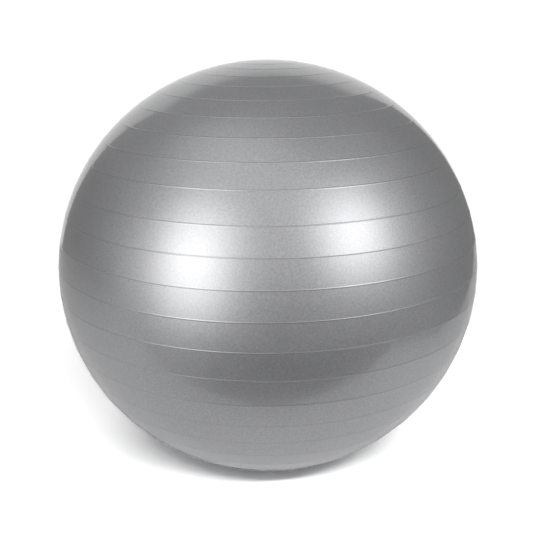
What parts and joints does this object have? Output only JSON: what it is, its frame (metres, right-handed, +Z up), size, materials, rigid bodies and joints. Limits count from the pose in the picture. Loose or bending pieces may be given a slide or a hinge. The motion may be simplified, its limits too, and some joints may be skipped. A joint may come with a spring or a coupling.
{
  "type": "exercise ball",
  "caption": "Inflatable exercise ball with raised ribs in rings round its upright axis, a moulded-in valve seat and a push-in plug that pulls out.",
  "frame": {"origin": "centre of the flat patch on which the ball rests", "axes": "+Z up along the axis that the ribs ring; +Y out through the valve"},
  "size_m": [0.6499, 0.6512, 0.6349],
  "materials": {
    "skin_pvc": "satin",
    "seat_pvc": "satin",
    "plug_plastic": "satin"
  },
  "bodies": {
    "ball": {"ball_skin": "skin_pvc", "valve_seat": "seat_pvc"},
    "plug": {"valve_plug": "plug_plastic"}
  },
  "joints": [
    {"name": "plug_pull", "type": "slide", "parent": "ball", "child": "plug", "axis": [0, 1, 0], "range_m": [0, 0.03]}
  ]
}
